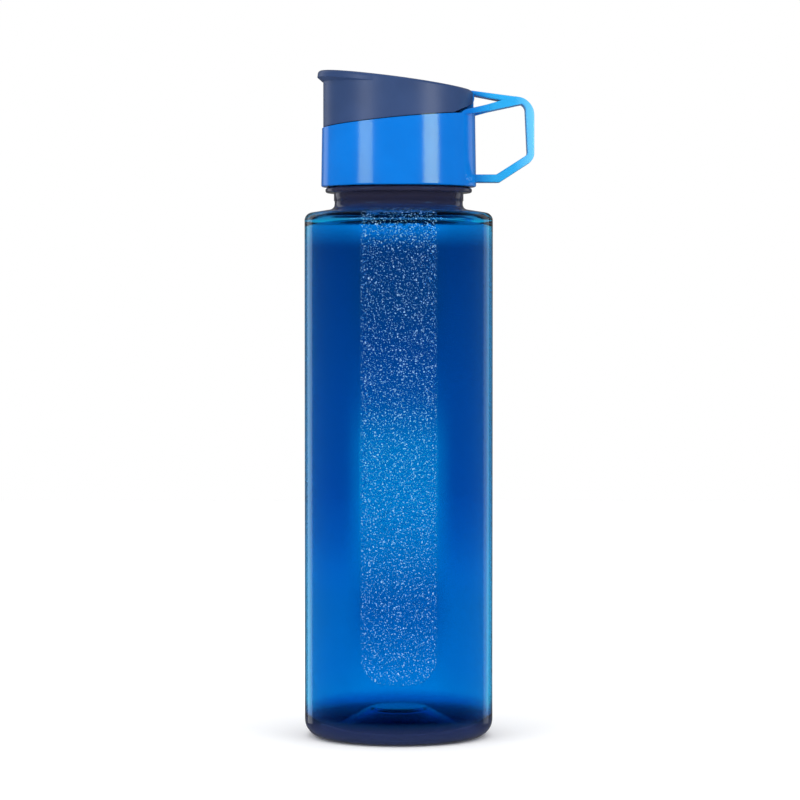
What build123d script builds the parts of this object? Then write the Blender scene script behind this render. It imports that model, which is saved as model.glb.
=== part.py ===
from build123d import *
from math import cos, radians, sin
import os

# Sports drinking bottle with a screw cap, a flip lid and a carry loop. Millimetres.
# Origin on the bottle's axis at the plane it stands on, +Z up. The carry loop and the lid's
# hinge are towards +X, and the lid's thumb lip is towards -X.

# ---- driving dimensions ----
# bottle
BODY_R = 36.0  # outside of the barrel
WALL = 2.1
FLOOR = 3.0
BASE_ROUND = 6.5
PUNT_R = 24.0  # the punt starts inside the standing ring
PUNT_TOP_R = 9.6
PUNT_H = 8.0
SHOULDER_Z = 199.9  # where the barrel and the shoulder's cone would meet
SHOULDER_SLOPE = 0.16
SHOULDER_ROUND = 3.0
NECK_R = 24.5
NECK_BORE_R = 22.3
NECK_TOP = 228.0
FLANGE_R = 28.0
FLANGE_Z = (207.8, 209.7)
COLLAR_BAND = 0.25  # the neck's upper band stands this proud
COLLAR_BAND_Z = 204.7
# grip panels on the barrel's two sides
GRIP_HALF_W = 15.0
GRIP_PROUD = 0.4
GRIP_BOTTOM = 19.0
GRIP_END_R = 11.0  # corner radius of the panel's lower end
GRIP_TOP_R = 26.4  # the panel runs over the shoulder up to this radius
# thread
PITCH = 5.0
THREAD_TURNS = 1.25
THREAD_TOP = 225.0
THREAD_CREST_R = 25.7
THREAD_HALF_ROOT = 1.1
THREAD_HALF_CREST = 0.5
INNER_CREST_R = 24.85
INNER_DROP = 1.8  # the cap's thread runs this far under the bottle's
# cap insert
SKIRT_R = 27.2
SKIRT_IN_R = 26.1
SKIRT_Z = 211.0
DECK_Z = (229.5, 231.5)
SEAL_RING_R = (20.0, 21.6)
SEAL_RING_Z = 225.5
GASKET_R = (21.9, 25.3)
# collar
COLLAR_R = 29.6
COLLAR_TOP_R = 29.1
COLLAR_Z = 210.1
COLLAR_IN_R = 27.25
LEDGE_R = 24.6
LEDGE_T = 1.5
RIM_LIP_IN_R = 25.2
RIM_LIP_R = 26.7
RIM_LIP_H = 1.3
SEAM_Z = 235.2  # parting plane of lid and collar on the axis, which rises towards the hinge
SEAM_SLOPE = 0.095
SEAM_GAP = 0.35
# lid
LID_R = 28.8
LID_WALL = 1.8
LID_TOP_Z = 250.3  # top plane on the axis, which falls towards the hinge
LID_SLOPE = 0.134
LID_ROOF = 2.2
LID_EDGE = 1.0
LIP_R = 27.9
LIP_SHIFT = -3.1
LIP_EDGE = 1.2
LIP_T = 2.6
LIP_TAPER_T = 1.3
LIP_TAPER = 56.0  # degrees off the vertical
LID_REAR_X = 17.5  # rear end of the lid's hollow
LID_HEEL = (20.8, 26.6)  # the lid's underside rises off the seam between these
LID_HEEL_Z = 240.45
# hinge
HINGE_X = 25.5
HINGE_Z = 243.6
KNUCKLE_R = 3.25
PIN_R = 1.0
PIN_Y = (-10.8, 11.2)  # the pin goes in from +Y, into a blind bore
RUNNING_GAP = 0.05
HINGE_GAP = 0.35
NOTCH_X = HINGE_X - 5.6
BRACKET_Z = 239.2
BRACKET_HALF_W = 12.6
POST = (HINGE_X - 2.6, 28.45)  # front and rear of the post under the knuckle
# carry loop
LOOP_W = 11.0
LOOP_X = 51.6  # outside of the strap
LOOP_CORNER_R = 7.0
LOOP_HEEL_Z = 220.4  # where the strap's outside turns in towards the collar
LOOP_TOE_X = (38.4, 37.2)  # outer and inner start of the level foot
LOOP_FOOT_Z = (211.8, 214.75)
STRAP_IN = ((49.0, 222.3), (48.1, 241.4))  # lower and upper corner of the strap's inside
SPINE_T = 1.5  # the spine from the knuckle grows from this
SPINE_MID = (40.0, 242.6)
LOOP_ROUND = 0.7
ARM_ANGLE = 43.0  # where the side arms leave the collar, from +X
ARM_ROOT_R = 28.9
ARM_T = 2.8
ARM_FAR_X = 48.6
ARM_TOP = ((20.0, 237.4), (50.0, 246.0))
ARM_UNDER = ((20.0, 235.8), (50.0, 242.25))
# spout, vent and plug
SPOUT_X = -13.0
SPOUT_BORE = 4.8
SPOUT_TOP = 245.0
SPOUT_R = (9.0, 6.9)
SPOUT_STUB_R = 6.4
SEAT_R = 10.5
SEAT_T = 1.2
VENT_X = 10.0
VENT_R = 1.2
STEM_R = 1.15
BULB_R = 1.9
BULB_H = 2.55
UMBRELLA_R = 4.0
UMBRELLA_H = 1.4
LINER_T = 1.2
LINER_REAR_X = 17.2
BOSS_R = 7.0
BOSS_Z = 246.6
PLUG_R = 4.35
PLUG_NOSE_H = 2.6
PLUG_LIFT = 0.02  # the pad stands this far over the spout's rim
PLUG_STEM_R = 4.0
PLUG_STEM_H = 1.8
FIT_GAP = 0.05  # between parts pushed into one another

REACH = 80.0  # larger than the cap in any direction

os.makedirs("parts", exist_ok=True)


# ---- helpers ----
def turned(points, radii):
    """Solid of revolution of a closed outline of (r, z) points, with one corner radius each."""
    outline = FilletPolyline(*[(r, 0, z) for r, z in points], radius=radii, close=True)
    return revolve(make_face(outline), Axis.Z)


def side_plate(points, half_width, radii=0):
    """Plate across Y from a closed side outline of (x, z) points."""
    outline = FilletPolyline(*[(x, 0, z) for x, z in points], radius=radii, close=True)
    return extrude(make_face(outline), amount=half_width, both=True)


def disc(radius, low, high, x=0.0):
    return Pos(x, 0, low) * extrude(Circle(radius), amount=high - low)


def tube(outer, inner, low, high, x=0.0):
    return disc(outer, low, high, x) - disc(inner, low - 1, high + 1, x)


def helix_ridge(root_r, crest_r, low, turns):
    """Trapezoid ridge wound about Z. The crest may lie outside or inside the root."""
    path = Helix(PITCH, PITCH * turns, root_r, center=(0, 0, low))
    ridge = Plane(origin=path @ 0, x_dir=(1, 0, 0), z_dir=path % 0)
    sunk = 0.25 if root_r < crest_r else -0.25
    rise = crest_r - root_r
    outline = [
        (-sunk, -THREAD_HALF_ROOT),
        (rise, -THREAD_HALF_CREST),
        (rise, THREAD_HALF_CREST),
        (-sunk, THREAD_HALF_ROOT),
    ]
    section = ridge * make_face(Polyline(*outline, close=True))
    return sweep(section, path, is_frenet=True)


def seam_z(x):
    return SEAM_Z + SEAM_SLOPE * x


def top_z(x):
    return LID_TOP_Z - LID_SLOPE * x


def above_seam(lift=0.0):
    """Everything over the parting plane of lid and collar, raised by lift."""
    low, high = -REACH, REACH
    points = [(low, seam_z(low) + lift), (high, seam_z(high) + lift), (high, 320), (low, 320)]
    return side_plate(points, REACH)


# ---- bottle ----
def grip_panel():
    """Raised panel on the -Y side, which runs up over the shoulder."""
    height = SHOULDER_Z + 8 - GRIP_BOTTOM
    face = Plane.XZ * (
        Pos(0, GRIP_BOTTOM + height / 2) * RectangleRounded(2 * GRIP_HALF_W, height, GRIP_END_R)
    )
    window = extrude(face, amount=BODY_R + 5)
    cone_top = SHOULDER_Z + SHOULDER_SLOPE * (BODY_R - GRIP_TOP_R)
    skin = turned(
        [
            (BODY_R - 1, GRIP_BOTTOM - 1),
            (BODY_R + GRIP_PROUD, GRIP_BOTTOM - 1),
            (BODY_R + GRIP_PROUD, SHOULDER_Z + GRIP_PROUD),
            (GRIP_TOP_R, cone_top + GRIP_PROUD),
            (GRIP_TOP_R, cone_top - 1),
            (BODY_R - 1, SHOULDER_Z - 1),
        ],
        [0, 0, SHOULDER_ROUND + GRIP_PROUD, 0.3, 0, 0],
    )
    return skin & window


def bottle_body():
    neck_root = SHOULDER_Z + SHOULDER_SLOPE * (BODY_R - NECK_R)
    inner_r = BODY_R - WALL
    inner_shoulder = SHOULDER_Z - WALL
    inner_neck = inner_shoulder + SHOULDER_SLOPE * (inner_r - NECK_BORE_R)
    band_r = NECK_R + COLLAR_BAND
    corners = [
        ((0, PUNT_H), 0),
        ((PUNT_TOP_R, PUNT_H), 2.5),
        ((PUNT_R, 0), 2.0),
        ((BODY_R, 0), BASE_ROUND),
        ((BODY_R, SHOULDER_Z), SHOULDER_ROUND),
        ((NECK_R, neck_root), 2.2),
        ((NECK_R, COLLAR_BAND_Z), 0),
        ((band_r, COLLAR_BAND_Z), 0),
        ((band_r, FLANGE_Z[0]), 0.4),
        ((FLANGE_R, FLANGE_Z[0]), 0.8),
        ((FLANGE_R, FLANGE_Z[1]), 0.8),
        ((NECK_R, FLANGE_Z[1]), 0.4),
        ((NECK_R, NECK_TOP), 0.6),
        ((NECK_BORE_R, NECK_TOP), 0.6),
        ((NECK_BORE_R, inner_neck), 3.0),
        ((inner_r, inner_shoulder), 3.5),
        ((inner_r, FLOOR), 6.0),
        ((PUNT_R + 1, FLOOR), 3.0),
        ((PUNT_TOP_R + 1, PUNT_H + FLOOR), 2.5),
        ((0, PUNT_H + FLOOR), 0),
    ]
    shell = turned([point for point, _ in corners], [radius for _, radius in corners])
    low = THREAD_TOP - PITCH * THREAD_TURNS
    thread = helix_ridge(NECK_R, THREAD_CREST_R, low, THREAD_TURNS)
    panel = grip_panel()
    return shell + thread + panel + Rot(0, 0, 180) * panel


def neck_gasket():
    return tube(GASKET_R[1], GASKET_R[0], NECK_TOP, DECK_Z[0])


# ---- cap ----
def cap_insert():
    skirt = turned(
        [
            (SKIRT_R, SKIRT_Z),
            (SKIRT_R, DECK_Z[1]),
            (0, DECK_Z[1]),
            (0, DECK_Z[0]),
            (SEAL_RING_R[0], DECK_Z[0]),
            (SEAL_RING_R[0], SEAL_RING_Z),
            (SEAL_RING_R[1], SEAL_RING_Z),
            (SEAL_RING_R[1], DECK_Z[0]),
            (SKIRT_IN_R, DECK_Z[0]),
            (SKIRT_IN_R, SKIRT_Z),
        ],
        [0.3, 0.4, 0, 0, 0.5, 0.5, 0.5, 0, 0, 0.3],
    )
    low = THREAD_TOP - PITCH * THREAD_TURNS - INNER_DROP
    thread = helix_ridge(SKIRT_IN_R, INNER_CREST_R, low, THREAD_TURNS)
    holes = disc(SPOUT_STUB_R, DECK_Z[0] - 1, DECK_Z[1] + 1, SPOUT_X)
    holes += disc(VENT_R, DECK_Z[0] - 1, DECK_Z[1] + 1, VENT_X)
    return skirt + thread - holes


def drinking_spout():
    """Mouthpiece: a stub in the deck, a seat on it and a tapered drinking tube."""
    profile = turned(
        [
            (SPOUT_BORE, DECK_Z[0]),
            (SPOUT_STUB_R, DECK_Z[0]),
            (SPOUT_STUB_R, DECK_Z[1]),
            (SEAT_R, DECK_Z[1]),
            (SEAT_R, DECK_Z[1] + SEAT_T),
            (SPOUT_R[0], DECK_Z[1] + SEAT_T),
            (SPOUT_R[1], SPOUT_TOP),
            (SPOUT_BORE, SPOUT_TOP),
        ],
        [0, 0, 0, 0.4, 0.6, 0.8, 0.9, 0.5],
    )
    return Pos(SPOUT_X, 0, 0) * profile


def vent_valve():
    """Umbrella valve: a thin cap on the deck, a stem through it and a retaining bulb."""
    bulb_top = DECK_Z[0] - FIT_GAP
    profile = turned(
        [
            (0, bulb_top - BULB_H),
            (0.7, bulb_top - BULB_H),
            (BULB_R, bulb_top - 0.85),
            (BULB_R, bulb_top),
            (STEM_R, bulb_top),
            (STEM_R, DECK_Z[1]),
            (UMBRELLA_R, DECK_Z[1]),
            (UMBRELLA_R, DECK_Z[1] + 0.6),
            (1.5, DECK_Z[1] + UMBRELLA_H),
            (0, DECK_Z[1] + UMBRELLA_H),
        ],
        [0, 0.3, 0.3, 0.2, 0, 0, 0.2, 0.25, 1.0, 0],
    )
    return Pos(VENT_X, 0, 0) * profile


def along_hinge(radius, low, high):
    """Cylinder about the hinge's axis from y = low to y = high."""
    middle = Pos(HINGE_X, (low + high) / 2, HINGE_Z)
    return middle * Rot(90, 0, 0) * Cylinder(radius, high - low)


def pin_bore(gap):
    return along_hinge(PIN_R + gap, PIN_Y[0] - gap, REACH)


def carry_loop():
    """Strap from the hinge knuckle back, down and in again to the collar."""
    root = COLLAR_IN_R + 0.8
    corners = [
        ((HINGE_X, top_z(HINGE_X)), 0),
        ((LOOP_X, top_z(LOOP_X)), LOOP_CORNER_R),
        ((LOOP_X, LOOP_HEEL_Z), 4.5),
        ((LOOP_TOE_X[0], LOOP_FOOT_Z[0]), 1.5),
        ((root, LOOP_FOOT_Z[0]), 0),
        ((root, LOOP_FOOT_Z[1]), 0),
        ((LOOP_TOE_X[1], LOOP_FOOT_Z[1]), 1.0),
        (STRAP_IN[0], 1.5),
        (STRAP_IN[1], 2.8),
        (SPINE_MID, 3.0),
        ((HINGE_X, top_z(HINGE_X) - SPINE_T), 0),
    ]
    strap = side_plate([point for point, _ in corners], LOOP_W / 2, [r for _, r in corners])
    on_sides = [e for e in strap.edges() if abs(abs(e.center().Y) - LOOP_W / 2) < 0.01]
    return fillet(on_sides, LOOP_ROUND)


def side_arm():
    """Bar on the -Y side, tangent to the collar, that rises and runs in under the spine."""
    angle = radians(ARM_ANGLE)
    outward = Vector(cos(angle), -sin(angle))
    along = Vector(sin(angle), cos(angle))
    side = -LOOP_W / 2 + 0.05
    middle = 0.5
    start = outward * ARM_ROOT_R
    inner_start = outward * (ARM_ROOT_R - ARM_T)
    tip = start + along * ((side - start.Y) / along.Y)
    crotch = inner_start + along * ((middle - inner_start.Y) / along.Y)
    plan = Polyline(
        start, tip, (ARM_FAR_X, side), (ARM_FAR_X, middle), crotch, inner_start, close=True
    )
    column = Pos(0, 0, SEAM_Z - 5) * extrude(make_face(plan), amount=20)
    band = side_plate([*ARM_TOP, *reversed(ARM_UNDER)], REACH)
    under_strap = side_plate(
        [(0, top_z(0)), (LOOP_X, top_z(LOOP_X)), (LOOP_X, SEAM_Z - 5), (0, SEAM_Z - 5)],
        REACH,
        [0, LOOP_CORNER_R, 0, 0],
    )
    bar = column & band & under_strap
    lengthwise = [e for e in bar.edges() if abs((e % 0.5).dot(along)) > 0.9]
    return fillet(lengthwise, LOOP_ROUND)


def cap_collar():
    wall = turned(
        [
            (COLLAR_IN_R, COLLAR_Z),
            (COLLAR_R, COLLAR_Z),
            (COLLAR_TOP_R, HINGE_Z),
            (COLLAR_IN_R, HINGE_Z),
        ],
        [0.4, 0.6, 0, 0],
    )
    wall -= above_seam()
    # ledge over the insert's deck, and the lip that locates the lid
    into_wall = COLLAR_IN_R + 0.5
    inner = tube(into_wall, LEDGE_R, DECK_Z[1], DECK_Z[1] + LEDGE_T)
    inner += tube(into_wall, RIM_LIP_IN_R, DECK_Z[1], HINGE_Z)
    inner -= above_seam(RIM_LIP_H)
    lid_wall_room = tube(COLLAR_R, RIM_LIP_R, DECK_Z[1] - 1, HINGE_Z)
    behind_hollow = Pos(HINGE_X, 0, HINGE_Z) * Box(2 * (HINGE_X - LID_REAR_X) + 4, REACH, 30)
    inner -= (lid_wall_room + behind_hollow) & above_seam()
    arm = side_arm()
    arms = arm + mirror(arm, Plane.XZ)
    arms -= disc(LID_R + HINGE_GAP, SEAM_Z - 20, HINGE_Z + 10) & above_seam(-0.05)
    # low bracket behind the lid's barrel, between the arms
    behind_barrel = Pos(HINGE_X + HINGE_GAP + REACH / 2, 0, SEAM_Z)
    bracket = disc(COLLAR_TOP_R, SEAM_Z, BRACKET_Z)
    bracket &= behind_barrel * Box(REACH, 2 * BRACKET_HALF_W, REACH)
    knuckle = along_hinge(KNUCKLE_R, -LOOP_W / 2, LOOP_W / 2)
    post = side_plate(
        [
            (POST[0], SEAM_Z - 3),
            (POST[1], SEAM_Z - 3),
            (POST[1], HINGE_Z),
            (POST[0], HINGE_Z - 1),
        ],
        LOOP_W / 2,
    )
    inside = disc(COLLAR_IN_R, SKIRT_Z - 5, DECK_Z[1])
    cap = wall + inner + bracket + knuckle + post + arms + carry_loop()
    return cap - inside - pin_bore(0.0)


def hinge_pin():
    pin = along_hinge(PIN_R, *PIN_Y)
    return chamfer(pin.edges(), 0.2)


# ---- lid ----
def top_slab(thickness, drop=0.0):
    """Slab under the lid's top plane: drop and thickness are measured straight down."""
    low, high = -REACH, REACH
    upper = [(x, top_z(x) - drop) for x in (low, high)]
    lower = [(x, top_z(x) - drop - thickness) for x in (high, low)]
    return side_plate(upper + lower, REACH)


def lid_outline():
    """Side outline of the lid: seam, heel rising to the barrel about the pin, top."""
    front = -REACH
    block = side_plate(
        [
            (front, seam_z(front) + SEAM_GAP),
            (LID_HEEL[0], seam_z(LID_HEEL[0]) + SEAM_GAP),
            (LID_HEEL[1], LID_HEEL_Z),
            (HINGE_X, HINGE_Z),
            (HINGE_X, top_z(HINGE_X)),
            (front, top_z(front)),
        ],
        REACH,
    )
    return block + along_hinge(KNUCKLE_R, -REACH, REACH)


def thumb_lip():
    top = Plane(
        origin=(0, 0, LID_TOP_Z), x_dir=(1, 0, -LID_SLOPE), z_dir=(LID_SLOPE, 0, 1)
    )
    circle = Pos(LIP_SHIFT, 0) * Circle(LIP_R)
    upper = extrude(top * circle, amount=-LIP_T)
    upper = fillet(upper.edges().sort_by(Axis.Z)[-1], LIP_EDGE)
    low_plane = top.offset(-LIP_T)
    lower = extrude(low_plane * circle, amount=-LIP_TAPER_T, taper=LIP_TAPER)
    return upper + lower


def lid_shell():
    round_top = disc(LID_R, SEAM_Z - 10, LID_TOP_Z + 10) - top_slab(-REACH)
    round_top = fillet(round_top.faces().sort_by(Axis.Z)[-1].edges(), LID_EDGE)
    solid = (round_top & lid_outline()) + thumb_lip()
    hollow = disc(LID_R - LID_WALL, SEAM_Z - 20, LID_TOP_Z + 10)
    hollow &= side_plate(
        [
            (-REACH, SEAM_Z - 20),
            (LID_REAR_X, SEAM_Z - 20),
            (LID_REAR_X, top_z(LID_REAR_X) - LID_ROOF),
            (-REACH, top_z(-REACH) - LID_ROOF),
        ],
        REACH,
    )
    slot_x = NOTCH_X + REACH / 2
    notch = Pos(slot_x, 0, HINGE_Z) * Box(REACH, LOOP_W + 2 * HINGE_GAP, REACH)
    lid = solid - hollow - notch
    lip_room = disc(RIM_LIP_R + HINGE_GAP, SEAM_Z - 20, LID_TOP_Z) & side_plate(
        [
            (-REACH, seam_z(-REACH)),
            (LID_REAR_X + 0.2, seam_z(LID_REAR_X)),
            (LID_REAR_X + 0.2, seam_z(LID_REAR_X) + RIM_LIP_H + HINGE_GAP),
            (-REACH, seam_z(-REACH) + RIM_LIP_H + HINGE_GAP),
        ],
        REACH,
    )
    return lid - lip_room - pin_bore(RUNNING_GAP)


def lid_liner():
    liner_r = LID_R - LID_WALL - FIT_GAP
    plate = disc(liner_r, SEAM_Z, LID_TOP_Z + 10) & top_slab(LINER_T, LID_ROOF)
    plate -= Pos(LINER_REAR_X + REACH / 2, 0, HINGE_Z) * Box(REACH, REACH, REACH)
    boss = disc(BOSS_R, BOSS_Z, top_z(SPOUT_X), SPOUT_X) & top_slab(20, LID_ROOF)
    socket = disc(PLUG_STEM_R + FIT_GAP, BOSS_Z - 1, BOSS_Z + PLUG_STEM_H, SPOUT_X)
    return plate + boss - socket


def spout_plug():
    """Stem in the liner's boss, a sealing pad on the spout's rim and a nose in its bore."""
    profile = turned(
        [
            (0, SPOUT_TOP - PLUG_NOSE_H),
            (PLUG_R - 0.5, SPOUT_TOP - PLUG_NOSE_H),
            (PLUG_R, SPOUT_TOP + PLUG_LIFT),
            (BOSS_R, SPOUT_TOP + PLUG_LIFT),
            (BOSS_R, BOSS_Z),
            (PLUG_STEM_R, BOSS_Z),
            (PLUG_STEM_R, BOSS_Z + PLUG_STEM_H),
            (0, BOSS_Z + PLUG_STEM_H),
        ],
        [0, 0.8, 0, 0.4, 0.3, 0, 0.3, 0],
    )
    return Pos(SPOUT_X, 0, 0) * profile


NODES = {
    "bottle_body": bottle_body,
    "neck_gasket": neck_gasket,
    "cap_insert": cap_insert,
    "cap_collar": cap_collar,
    "drinking_spout": drinking_spout,
    "vent_valve": vent_valve,
    "hinge_pin": hinge_pin,
    "lid_shell": lid_shell,
    "lid_liner": lid_liner,
    "spout_plug": spout_plug,
}

for name, build in NODES.items():
    shape = build()
    print(name, round(shape.volume), "mm3, solids", len(shape.solids()))
    export_step(shape, f"parts/{name}.step")
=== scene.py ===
import math
import random

import bpy
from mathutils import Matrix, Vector


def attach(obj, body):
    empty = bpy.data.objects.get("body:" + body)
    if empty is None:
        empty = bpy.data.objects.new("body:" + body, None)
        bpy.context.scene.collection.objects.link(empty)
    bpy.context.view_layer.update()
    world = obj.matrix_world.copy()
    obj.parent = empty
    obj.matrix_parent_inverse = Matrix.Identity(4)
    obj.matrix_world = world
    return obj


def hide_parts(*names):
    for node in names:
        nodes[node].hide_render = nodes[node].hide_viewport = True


# Sports bottle with a flip lid and a carry loop. The body is rebuilt here with its stipple, and
# every other piece is the CAD model's own mesh with a material. The scene is in metres.

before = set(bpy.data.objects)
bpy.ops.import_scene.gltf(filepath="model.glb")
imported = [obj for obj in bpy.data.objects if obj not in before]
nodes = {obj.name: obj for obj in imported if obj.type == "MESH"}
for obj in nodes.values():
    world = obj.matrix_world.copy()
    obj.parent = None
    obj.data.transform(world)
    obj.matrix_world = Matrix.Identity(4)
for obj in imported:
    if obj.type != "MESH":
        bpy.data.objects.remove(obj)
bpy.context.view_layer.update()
MM = 0.001

# ---- the bottle's profile, in millimetres, as in the CAD model ----
BODY_R = 36.0
WALL = 2.1
FLOOR = 3.0
BASE_ROUND = 6.5
PUNT_R = 24.0
PUNT_TOP_R = 9.6
PUNT_H = 8.0
SHOULDER_Z = 199.9
SHOULDER_SLOPE = 0.16
SHOULDER_ROUND = 3.0
NECK_R = 24.5
NECK_BORE_R = 22.3
NECK_TOP = 228.0
FLANGE_R = 28.0
FLANGE_Z = (207.8, 209.7)
BAND = 0.25
BAND_Z = 204.7
GRIP_HALF_W = 15.0
GRIP_PROUD = 0.4
GRIP_BOTTOM = 23.0  # the plain pad of the CAD model starts 4 mm lower
GRIP_END_R = 11.0
GRIP_TOP_R = 26.4
GRIP_EDGE = 0.9  # width of the pad's rounded border
PAD_PROUD = 0.18  # the pad stands this high between the stipple's grains
STIPPLE_TOP = GRIP_PROUD - 0.01
STIPPLE_EDGE = (0.1, 0.6)  # the stipple starts this far inside the pad's outline
THREAD_R = 25.7
THREAD_HALF = (1.1, 0.5)  # half widths of its root and its crest
PITCH = 5.0
THREAD_TURNS = 1.25
THREAD_TOP = 225.0
# mesh sizes
PANEL_COLUMNS = 66  # columns of faces over one grip panel
SIDE_COLUMNS = 24  # and over the plain side between two panels
PANEL_STEP = 0.54  # height of a face on the panels
PLAIN_STEP = 4.0
INSIDE_STEP = 9.0
THREAD_STEPS = 80
PANEL_TOP_Z = SHOULDER_Z + SHOULDER_SLOPE * (BODY_R - GRIP_TOP_R)


# ---- material helpers ----
def new_material(name):
    material = bpy.data.materials.new(name)
    material.use_nodes = True
    tree = material.node_tree
    return material, tree, tree.nodes["Principled BSDF"]


def node(tree, kind, **values):
    """A new node, with its sockets or properties set by name."""
    made = tree.nodes.new(kind)
    for key, value in values.items():
        if key in made.inputs:
            made.inputs[key].default_value = value
        else:
            setattr(made, key, value)
    return made


def position(tree, axis):
    """Place on the piece along one of its axes, in metres."""
    coords = node(tree, "ShaderNodeTexCoord")
    split = node(tree, "ShaderNodeSeparateXYZ")
    tree.links.new(coords.outputs["Object"], split.inputs["Vector"])
    return split.outputs[axis]


def noise(tree, scale, detail=2.0, roughness=0.5):
    coords = node(tree, "ShaderNodeTexCoord")
    made = node(tree, "ShaderNodeTexNoise", Scale=scale, Detail=detail, Roughness=roughness)
    tree.links.new(coords.outputs["Object"], made.inputs["Vector"])
    return made.outputs["Fac"]


def spread(tree, factor, low, high, start=0.35, end=0.65):
    """factor from start..end becomes low..high."""
    made = node(tree, "ShaderNodeMapRange")
    for key, value in (("From Min", start), ("From Max", end), ("To Min", low), ("To Max", high)):
        made.inputs[key].default_value = value
    tree.links.new(factor, made.inputs["Value"])
    return made.outputs["Result"]


def ramp(tree, factor, stops):
    """Colour ramp of (position, (r, g, b)) stops."""
    made = node(tree, "ShaderNodeValToRGB")
    elements = made.color_ramp.elements
    while len(elements) < len(stops):
        elements.new(0.5)
    for element, (position, colour) in zip(elements, stops):
        element.position = position
        element.color = (*colour, 1.0)
    tree.links.new(factor, made.inputs["Fac"])
    return made.outputs["Color"]


def bump(tree, shader, height, distance, strength=0.4):
    made = node(tree, "ShaderNodeBump", Strength=strength, Distance=distance)
    tree.links.new(height, made.inputs["Height"])
    tree.links.new(made.outputs["Normal"], shader.inputs["Normal"])


def calculated(tree, operation, first, second):
    made = node(tree, "ShaderNodeMath", operation=operation)
    tree.links.new(first, made.inputs[0])
    tree.links.new(second, made.inputs[1])
    return made.outputs[0]


def mixed(tree, factor, first, second):
    """Colour between first and second, each a socket or an (r, g, b) colour."""
    made = node(tree, "ShaderNodeMix", data_type="RGBA")
    tree.links.new(factor, made.inputs["Factor"])
    colour_inputs = [i for i in made.inputs if i.type == "RGBA"]
    for source, target in zip((first, second), colour_inputs):
        if isinstance(source, tuple):
            target.default_value = (*source, 1.0)
        else:
            tree.links.new(source, target)
    return next(o for o in made.outputs if o.type == "RGBA")


def moulded(name, dark, light, rough, specular=0.5):
    """Moulded plastic: faint colour drift, and the mould's fine grain in gloss and height."""
    material, tree, shader = new_material(name)
    drift = ramp(tree, noise(tree, 60.0, 3.0), [(0.35, dark), (0.65, light)])
    tree.links.new(drift, shader.inputs["Base Color"])
    fine = noise(tree, 2500.0, 2.0, 0.6)
    tree.links.new(spread(tree, fine, rough - 0.04, rough + 0.05), shader.inputs["Roughness"])
    bump(tree, shader, fine, 0.00002)
    shader.inputs["IOR"].default_value = 1.49
    shader.inputs["Specular IOR Level"].default_value = specular
    return material


# colour of the tint against height up the bottle (1 is its rim), at the panels and beside them,
# with painted light and shade in it: painted shade at the foot and down the sides, painted light
# and shade in bands up the panels, a painted bright band at the shoulder and a painted dark neck
BASE_TINT_AND_SHADE = [
    (0.0, (0.05, 0.065, 0.15)),
    (0.028, (0.045, 0.075, 0.23)),
    (0.045, (0.005, 0.19, 0.55)),
]
NECK_TINT_AND_SHADE = [(0.872, (0.02, 0.36, 0.74)), (0.882, (0.04, 0.06, 0.16)), (0.9, (0.05, 0.05, 0.10))]
PANEL_TINT_AND_LIGHT = [
    (0.06, (0.0, 0.40, 0.77)),
    (0.10, (0.0, 0.37, 0.71)),
    (0.16, (0.0, 0.31, 0.64)),
    (0.22, (0.0, 0.275, 0.60)),
    (0.31, (0.0, 0.37, 0.70)),
    (0.40, (0.0, 0.42, 0.75)),
    (0.49, (0.0, 0.405, 0.73)),
    (0.57, (0.005, 0.27, 0.59)),
    (0.65, (0.01, 0.215, 0.51)),
    (0.73, (0.015, 0.20, 0.45)),
    (0.82, (0.015, 0.185, 0.43)),
    (0.865, (0.02, 0.48, 0.90)),
]
SIDE_TINT_AND_SHADE = [
    (0.06, (0.0, 0.38, 0.72)),
    (0.10, (0.0, 0.34, 0.69)),
    (0.22, (0.0, 0.32, 0.66)),
    (0.27, (0.0, 0.32, 0.69)),
    (0.34, (0.0, 0.27, 0.63)),
    (0.40, (0.0, 0.245, 0.60)),
    (0.50, (0.0, 0.236, 0.57)),
    (0.57, (0.0, 0.23, 0.557)),
    (0.65, (0.0, 0.217, 0.523)),
    (0.82, (0.005, 0.186, 0.455)),
    (0.865, (0.0, 0.42, 0.78)),
]
SIDE_SHADE_START = (0.013, 0.021)  # the sides' tint and its painted shade take over between these distances from the middle
# pale colour of the painted glints on the stipple's grains
GLINT_COLOUR = (0.55, 0.72, 0.95)


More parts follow.
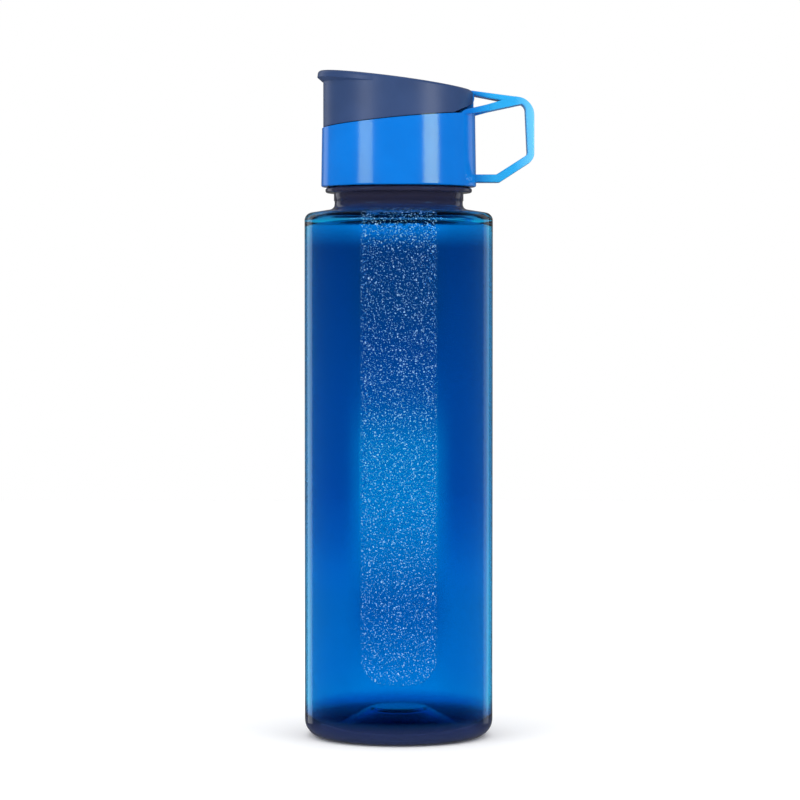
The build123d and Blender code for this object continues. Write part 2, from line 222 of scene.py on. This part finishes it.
def tinted_plastic():
    """Clear copolyester, tinted through, with painted light and shade in the tint up the bottle
    and down its sides, and painted glints on the grains of its grip panels.
    """
    material, tree, shader = new_material("tinted_body")
    height = spread(tree, position(tree, "Z"), 0.0, 1.0, 0.0, NECK_TOP * MM)
    # painted shade down the sides and painted light and shade in bands up the bottle, carried in
    # the tint
    across = node(tree, "ShaderNodeMath", operation="ABSOLUTE")
    tree.links.new(position(tree, "X"), across.inputs[0])
    side_shade = spread(tree, across.outputs[0], 0.0, 1.0, *SIDE_SHADE_START)
    panel = ramp(tree, height, BASE_TINT_AND_SHADE + PANEL_TINT_AND_LIGHT + NECK_TINT_AND_SHADE)
    shaded_sides = ramp(tree, height, BASE_TINT_AND_SHADE + SIDE_TINT_AND_SHADE + NECK_TINT_AND_SHADE)
    tint_and_light = mixed(tree, side_shade, panel, shaded_sides)
    grip = node(tree, "ShaderNodeAttribute", attribute_name="grip").outputs["Fac"]
    # painted glints: pale specks on the stipple that stand in for its highlights
    glint_spots = spread(tree, noise(tree, 1750.0, 1.0), 0.0, 1.0, 0.55, 0.78)
    glint = calculated(tree, "MULTIPLY", glint_spots, grip)
    tree.links.new(mixed(tree, glint, tint_and_light, GLINT_COLOUR), shader.inputs["Base Color"])
    # the painted glints on the grains, the painted dark neck and the foot let less light through
    on_glints = spread(tree, glint, 1.0, 0.4, 0.0, 1.0)
    on_neck = spread(tree, height, 1.0, 0.5, 0.875, 0.895)
    on_foot = spread(tree, height, 0.55, 1.0, 0.012, 0.04)
    clear = calculated(tree, "MINIMUM", on_glints, calculated(tree, "MINIMUM", on_neck, on_foot))
    tree.links.new(clear, shader.inputs["Transmission Weight"])
    tree.links.new(spread(tree, noise(tree, 45.0, 3.0), 0.03, 0.08), shader.inputs["Roughness"])
    bump(tree, shader, noise(tree, 28.0, 1.0), 0.0004, 0.2)
    shader.inputs["Specular Tint"].default_value = (0.02, 0.12, 0.28, 1.0)
    shader.inputs["IOR"].default_value = 1.43
    return material


def collar_plastic():
    """Blue polypropylene, with painted light that makes it paler out in the thin loop."""
    material = moulded("collar_plastic", (0.0, 0.135, 0.53), (0.0, 0.15, 0.575), 0.155, 0.34)
    tree = material.node_tree
    shader = tree.nodes["Principled BSDF"]
    on_ring = shader.inputs["Base Color"].links[0].from_socket
    # painted light: paler blues out in the loop, palest at its far end
    outward = position(tree, "X")
    far = spread(tree, outward, 0.0, 1.0, 0.044, 0.051)
    lit_loop = mixed(tree, far, (0.02, 0.33, 0.70), (0.12, 0.47, 0.80))
    out = spread(tree, outward, 0.0, 1.0, 0.027, 0.036)
    tree.links.new(mixed(tree, out, on_ring, lit_loop), shader.inputs["Base Color"])
    shader.inputs["Specular Tint"].default_value = (0.75, 0.95, 0.3, 1.0)
    return material


def brushed_wire():
    material, tree, shader = new_material("pin_steel")
    coords = node(tree, "ShaderNodeTexCoord")
    stretch = node(tree, "ShaderNodeMapping")
    stretch.inputs["Scale"].default_value = (9000.0, 300.0, 9000.0)
    grain = node(tree, "ShaderNodeTexNoise", Scale=1.0, Detail=2.0)
    tree.links.new(coords.outputs["Object"], stretch.inputs["Vector"])
    tree.links.new(stretch.outputs["Vector"], grain.inputs["Vector"])
    tree.links.new(spread(tree, grain.outputs["Fac"], 0.2, 0.4), shader.inputs["Roughness"])
    colour = ramp(tree, grain.outputs["Fac"], [(0.3, (0.5, 0.5, 0.52)), (0.7, (0.66, 0.66, 0.68))])
    tree.links.new(colour, shader.inputs["Base Color"])
    shader.inputs["Metallic"].default_value = 1.0
    return material


def silicone():
    material, tree, shader = new_material("silicone")
    colour = ramp(tree, noise(tree, 150.0), [(0.3, (0.62, 0.68, 0.74)), (0.7, (0.74, 0.78, 0.82))])
    tree.links.new(colour, shader.inputs["Base Color"])
    fine = noise(tree, 1800.0)
    tree.links.new(spread(tree, fine, 0.42, 0.55), shader.inputs["Roughness"])
    bump(tree, shader, fine, 0.00002, 0.3)
    shader.inputs["Subsurface Weight"].default_value = 0.3
    shader.inputs["Subsurface Radius"].default_value = (0.003, 0.003, 0.003)
    return material


# ---- the bottle's body ----
def arc_points(previous, corner, following, radius, steps):
    """Points of the rounded corner between two straight runs of an outline."""
    a, c, b = Vector(previous), Vector(corner), Vector(following)
    to_a, to_b = (a - c).normalized(), (b - c).normalized()
    half = to_a.angle(to_b) / 2
    if radius <= 0 or abs(half - math.pi / 2) < 1e-4:
        return [tuple(c)]
    reach = radius / math.tan(half)
    centre = c + (to_a + to_b).normalized() * (radius / math.sin(half))
    start, end = c + to_a * reach - centre, c + to_b * reach - centre
    turn = start.angle_signed(end)
    return [
        tuple(centre + rotated(start, turn * i / steps)) for i in range(steps + 1)
    ]


def rotated(vector, angle):
    c, s = math.cos(angle), math.sin(angle)
    return Vector((vector.x * c + vector.y * s, -vector.x * s + vector.y * c))


def outline(corners):
    """Profile points of (r, z, radius, steps) corners, with the last stretch left open."""
    points = []
    for i, (r, z, radius, steps) in enumerate(corners):
        if i == 0 or i == len(corners) - 1:
            points.append((r, z))
            continue
        before, after = corners[i - 1][:2], corners[i + 1][:2]
        points += arc_points(before, (r, z), after, radius, steps)
    return points


def bottle_profile():
    neck_root = SHOULDER_Z + SHOULDER_SLOPE * (BODY_R - NECK_R)
    inner_r = BODY_R - WALL
    inner_shoulder = SHOULDER_Z - WALL
    inner_neck = inner_shoulder + SHOULDER_SLOPE * (inner_r - NECK_BORE_R)
    outer = outline(
        [
            (0, PUNT_H, 0, 0),
            (PUNT_TOP_R, PUNT_H, 2.5, 5),
            (PUNT_R, 0, 2.0, 6),
            (BODY_R, 0, BASE_ROUND, 14),
            (BODY_R, SHOULDER_Z, SHOULDER_ROUND, 10),
            (NECK_R, neck_root, 2.2, 8),
            (NECK_R, BAND_Z, 0, 0),
            (NECK_R + BAND, BAND_Z + 0.1, 0, 0),
            (NECK_R + BAND, FLANGE_Z[0], 0.4, 4),
            (FLANGE_R, FLANGE_Z[0], 0.8, 6),
            (FLANGE_R, FLANGE_Z[1], 0.8, 6),
            (NECK_R, FLANGE_Z[1], 0.4, 4),
            (NECK_R, NECK_TOP, 0.6, 4),
            (NECK_BORE_R, NECK_TOP, 0.6, 4),
        ]
    )[:-1]
    inner = outline(
        [
            (NECK_R, NECK_TOP, 0, 0),
            (NECK_BORE_R, NECK_TOP, 0.6, 4),
            (NECK_BORE_R, inner_neck, 3.0, 6),
            (inner_r, inner_shoulder, 3.5, 8),
            (inner_r, FLOOR, 6.0, 8),
            (PUNT_R + 1, FLOOR, 3.0, 5),
            (PUNT_TOP_R + 1, PUNT_H + FLOOR, 2.5, 5),
            (0, PUNT_H + FLOOR, 0, 0),
        ]
    )[1:]
    return outer, inner


def densify(points, steps_for):
    """Adds points along each run: steps_for(a, b) says how many pieces it has."""
    made = [points[0]]
    for a, b in zip(points, points[1:]):
        count = max(1, steps_for(a, b))
        for i in range(1, count + 1):
            t = i / count
            made.append((a[0] + (b[0] - a[0]) * t, a[1] + (b[1] - a[1]) * t))
    return made


def smooth(edge0, edge1, value):
    t = min(1.0, max(0.0, (value - edge0) / (edge1 - edge0)))
    return t * t * (3 - 2 * t)


def panel_distance(across, up, low, high):
    """Signed distance inside the panel's outline, positive inside, on the unrolled surface."""
    dx = abs(across) - (GRIP_HALF_W - GRIP_END_R)
    dy = (low + GRIP_END_R) - up
    if dx > 0 and dy > 0:
        return GRIP_END_R - math.hypot(dx, dy)
    return min(GRIP_HALF_W - abs(across), up - low, high - up)


class Stipple:
    """Jittered grid of small domes on the unrolled panel."""

    SPACING = 1.5
    JITTER = (0.12, 0.88)
    RADIUS = (0.5, 0.8)
    RISE = (0.2, 0.34)  # a dome's height over its radius

    def __init__(self, seed, low, high):
        draw = random.Random(seed)
        self.cells = {}
        self.low = low
        columns = int(2 * GRIP_HALF_W / self.SPACING) + 2
        rows = int((high - low) / self.SPACING) + 2
        for i in range(columns):
            for j in range(rows):
                x = -GRIP_HALF_W + (i + draw.uniform(*self.JITTER)) * self.SPACING
                y = low + (j + draw.uniform(*self.JITTER)) * self.SPACING
                radius = draw.uniform(*self.RADIUS)
                self.cells[(i, j)] = (x, y, radius, radius * draw.uniform(*self.RISE))

    def height(self, x, y):
        i = int((x + GRIP_HALF_W) / self.SPACING)
        j = int((y - self.low) / self.SPACING)
        tallest = 0.0
        for di in (-1, 0, 1):
            for dj in (-1, 0, 1):
                dome = self.cells.get((i + di, j + dj))
                if dome is None:
                    continue
                away = ((x - dome[0]) ** 2 + (y - dome[1]) ** 2) / dome[2] ** 2
                if away < 1:
                    tallest = max(tallest, dome[3] * (1 - away) ** 1.2)
        return tallest


def column_angles():
    """Angles round the bottle from -Y: fine over the two grip panels, coarse between them."""
    half = math.degrees(GRIP_HALF_W / BODY_R) + 1.0
    gap = 180 - 2 * half
    angles = []
    for middle in (0.0, 180.0):
        angles += [middle - half + 2 * half * i / PANEL_COLUMNS for i in range(PANEL_COLUMNS)]
        angles += [middle + half + gap * i / SIDE_COLUMNS for i in range(SIDE_COLUMNS)]
    return [math.radians(a) for a in angles]


def outside_steps(a, b):
    length = math.hypot(b[0] - a[0], b[1] - a[1])
    over_foot = min(a[1], b[1]) > BASE_ROUND - 1.5
    under_neck = max(a[1], b[1]) < PANEL_TOP_Z + 0.5 and max(a[0], b[0]) > GRIP_TOP_R - 1.5
    return int(length / (PANEL_STEP if over_foot and under_neck else PLAIN_STEP)) + 1


def inside_steps(a, b):
    return int(math.hypot(b[0] - a[0], b[1] - a[1]) / INSIDE_STEP) + 1


def lengths_up(rings):
    """Distance up the outside to each ring, which is its height while on the barrel."""
    lengths = [0.0]
    for a, b in zip(rings, rings[1:]):
        lengths.append(lengths[-1] + math.hypot(b[0] - a[0], b[1] - a[1]))
    barrel = next(i for i, ring in enumerate(rings) if abs(ring[0] - BODY_R) < 1e-6)
    start = lengths[barrel] - rings[barrel][1]
    return [length - start for length in lengths]


def outward(rings, index):
    """Direction out of the surface at a ring, as (r, z)."""
    before, after = rings[index - 1], rings[min(index + 1, len(rings) - 1)]
    run = Vector((after[0] - before[0], after[1] - before[1])).normalized()
    return run.y, -run.x


def grip_at(angle, up, panel_top, stipples):
    """How far a panel stands out at a place, and how stippled it is there, from 0 to 1."""
    back = math.pi / 2 < angle < 3 * math.pi / 2
    turn = angle - math.pi if back else math.remainder(angle, 2 * math.pi)
    across = turn * BODY_R
    inside = panel_distance(across, up, GRIP_BOTTOM, panel_top)
    if inside <= 0:
        return 0.0, 0.0
    stippled = smooth(*STIPPLE_EDGE, inside)
    grain = stipples[back].height(across, up) * stippled
    pad = PAD_PROUD * smooth(0.0, GRIP_EDGE, inside)
    return min(STIPPLE_TOP, pad + grain), stippled


def ring_faces(starts, count):
    """Faces between rings given as (first vertex, is a single vertex on the axis)."""
    faces = []
    for (a, a_is_pole), (b, b_is_pole) in zip(starts, starts[1:]):
        for i in range(count):
            j = (i + 1) % count
            if a_is_pole:
                faces.append((a, b + j, b + i))
            elif b_is_pole:
                faces.append((a + i, a + j, b))
            else:
                faces.append((a + i, a + j, b + j, b + i))
    return faces


def body_mesh():
    """Bottle with its inside, thread and stipple. The attribute grip marks the stipple."""
    outer, inner = bottle_profile()
    outside = densify(outer, outside_steps)
    rings = outside + densify([outer[-1]] + inner, inside_steps)[1:]
    ups = lengths_up(outside)
    panel_top = max(
        up for (r, z), up in zip(outside, ups)
        if r > GRIP_TOP_R and SHOULDER_Z - 5 < z < PANEL_TOP_Z + 0.3
    )
    stipples = [Stipple(seed, GRIP_BOTTOM, panel_top) for seed in (3, 7)]
    angles = column_angles()
    vertices, grip, starts = [], [], []
    for index, (r, z) in enumerate(rings):
        is_pole = r < 1e-6
        starts.append((len(vertices), is_pole))
        if is_pole:
            vertices.append((0.0, 0.0, z * MM))
            grip.append(0.0)
            continue
        by_panel = index < len(outside) and r > GRIP_TOP_R - 1
        by_panel = by_panel and GRIP_BOTTOM - 1 < ups[index] < panel_top + 1
        lift = stippled = out_r = out_z = 0.0
        if by_panel:
            out_r, out_z = outward(outside, index)
        for angle in angles:
            if by_panel:
                lift, stippled = grip_at(angle, ups[index], panel_top, stipples)
            rr, zz = r + lift * out_r, z + lift * out_z
            vertices.append((rr * math.sin(angle) * MM, -rr * math.cos(angle) * MM, zz * MM))
            grip.append(stippled)
    faces = ring_faces(starts, len(angles))
    thread_vertices, thread_faces = thread_strip()
    faces += [tuple(len(vertices) + i for i in face) for face in thread_faces]
    vertices += thread_vertices
    grip += [0.0] * len(thread_vertices)
    mesh = bpy.data.meshes.new("bottle_shell")
    mesh.from_pydata(vertices, [], faces)
    mesh.attributes.new("grip", "FLOAT", "POINT").data.foreach_set("value", grip)
    mesh.shade_smooth()
    return mesh


def thread_strip():
    """Closed ridge wound on the neck."""
    low = THREAD_TOP - PITCH * THREAD_TURNS
    root, crest = NECK_R - 0.05, THREAD_R
    section = [
        (root, -THREAD_HALF[0]),
        (crest, -THREAD_HALF[1]),
        (crest, THREAD_HALF[1]),
        (root, THREAD_HALF[0]),
    ]
    vertices, faces = [], []
    for i in range(THREAD_STEPS + 1):
        t = i / THREAD_STEPS
        angle = 2 * math.pi * THREAD_TURNS * t
        z = low + PITCH * THREAD_TURNS * t
        for r, up in section:
            vertices.append((r * math.cos(angle) * MM, r * math.sin(angle) * MM, (z + up) * MM))
    for i in range(THREAD_STEPS):
        for k in range(4):
            a, b = 4 * i + k, 4 * i + (k + 1) % 4
            faces.append((a, a + 4, b + 4, b))
    faces += [(0, 1, 2, 3), tuple(4 * THREAD_STEPS + k for k in (3, 2, 1, 0))]
    return vertices, faces


# ---- objects ----
shell = bpy.data.objects.new("bottle_shell", body_mesh())
bpy.context.scene.collection.objects.link(shell)
shell.data.materials.append(tinted_plastic())
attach(shell, "bottle")
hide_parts("bottle_body")

blue = collar_plastic()
navy = moulded("lid_plastic", (0.02, 0.047, 0.135), (0.024, 0.055, 0.155), 0.38, 0.36)
inner_navy = moulded("insert_plastic", (0.02, 0.04, 0.11), (0.026, 0.05, 0.13), 0.4)
spout_navy = moulded("spout_plastic", (0.02, 0.045, 0.12), (0.025, 0.055, 0.14), 0.22)
rubber = silicone()
steel = brushed_wire()
FINISH = {
    "cap_collar": blue,
    "lid_shell": navy,
    "cap_insert": inner_navy,
    "lid_liner": inner_navy,
    "drinking_spout": spout_navy,
    "neck_gasket": rubber,
    "vent_valve": rubber,
    "spout_plug": rubber,
    "hinge_pin": steel,
}
for name, material in FINISH.items():
    for slot in nodes[name].material_slots:
        slot.material = material

# ---- studio ----
FLOOR_HALF = 1.4
# Lamps round the bottle: azimuth in degrees from the camera's side towards +X, distance and
# height of the middle, width, tallness and radiance
SOFTBOXES = {
    "softbox_left": (-48, 1.1, 0.25, 0.75, 1.5, 1.6),
    "softbox_right": (49, 1.1, 0.25, 0.62, 1.5, 1.6),
    "softbox_top": (0, 0.3, 1.3, 1.6, 1.2, 0.6),
}
# these only make highlights, and the softboxes make none
MIRRORED = {
    "strip_left": (-50, 1.1, 0.318, 0.42, 0.165, 8.0),
    "strip_right": (49, 1.1, 0.318, 0.46, 0.165, 12.0),
    "strip_back_left": (-140, 1.2, 0.4, 0.4, 1.3, 0.7),
    "strip_back_right": (135, 1.2, 0.4, 0.4, 1.3, 0.5),
    "panel_above": (180, 0.5, 1.5, 1.0, 1.0, 0.8),
}
LAMP_AIM = Vector((0, 0, 0.13))
WORLD_IN_MIRRORS = 0.12
EYE = Vector((0.0005, -1.18, 0.166))
EYE_AIM = Vector((0.0005, 0, 0.1287))
VIEW_WIDTH = 0.3064  # what the picture shows across at the bottle's axis
SENSOR = 36.0


def aimed(holder, place, target):
    holder.location = place
    aim = target - Vector(place)
    holder.rotation_euler = aim.to_track_quat("-Z", "Y").to_euler()
    bpy.context.scene.collection.objects.link(holder)


def stage_floor():
    mesh = bpy.data.meshes.new("studio_floor")
    corners = [(-1, -1), (1, -1), (1, 1), (-1, 1)]
    mesh.from_pydata(
        [(x * FLOOR_HALF, y * FLOOR_HALF, 0) for x, y in corners], [], [(0, 1, 2, 3)]
    )
    floor = bpy.data.objects.new("studio_floor", mesh)
    bpy.context.scene.collection.objects.link(floor)
    material, _, shader = new_material("studio_floor")
    shader.inputs["Base Color"].default_value = (1, 1, 1, 1)
    shader.inputs["Roughness"].default_value = 0.9
    shader.inputs["Specular IOR Level"].default_value = 0.1
    mesh.materials.append(material)
    floor.visible_glossy = False


def softbox(name, azimuth, distance, height, width, tall, radiance, mirrored):
    lamp = bpy.data.lights.new(name, "AREA")
    lamp.shape = "RECTANGLE"
    lamp.size, lamp.size_y = width, tall
    lamp.energy = radiance * math.pi * width * tall
    holder = bpy.data.objects.new(name, lamp)
    a = math.radians(azimuth)
    aimed(holder, (math.sin(a) * distance, -math.cos(a) * distance, height), LAMP_AIM)
    holder.visible_diffuse = not mirrored
    holder.visible_glossy = mirrored
    holder.visible_transmission = False


def studio_world():
    """White all round, but dim where a surface mirrors it straight."""
    world = bpy.data.worlds.new("studio")
    bpy.context.scene.world = world
    world.use_nodes = True
    tree = world.node_tree
    back = tree.nodes["Background"]
    path = node(tree, "ShaderNodeLightPath")
    mirrored = node(tree, "ShaderNodeMath", operation="SUBTRACT", use_clamp=True)
    tree.links.new(path.outputs["Is Glossy Ray"], mirrored.inputs[0])
    tree.links.new(path.outputs["Transmission Depth"], mirrored.inputs[1])
    level = spread(tree, mirrored.outputs[0], 1.0, WORLD_IN_MIRRORS, 0.0, 1.0)
    tree.links.new(level, back.inputs["Strength"])
    back.inputs["Color"].default_value = (1, 1, 1, 1)


def camera():
    data = bpy.data.cameras.new("camera")
    holder = bpy.data.objects.new("camera", data)
    aimed(holder, EYE, EYE_AIM)
    data.sensor_width = SENSOR
    data.lens = SENSOR * (EYE_AIM - EYE).length / VIEW_WIDTH
    data.clip_start, data.clip_end = 0.01, 50
    bpy.context.scene.camera = holder


stage_floor()
studio_world()
for name, sizes in SOFTBOXES.items():
    softbox(name, *sizes, mirrored=False)
for name, sizes in MIRRORED.items():
    softbox(name, *sizes, mirrored=True)
camera()
bpy.context.scene.view_settings.view_transform = "Standard"
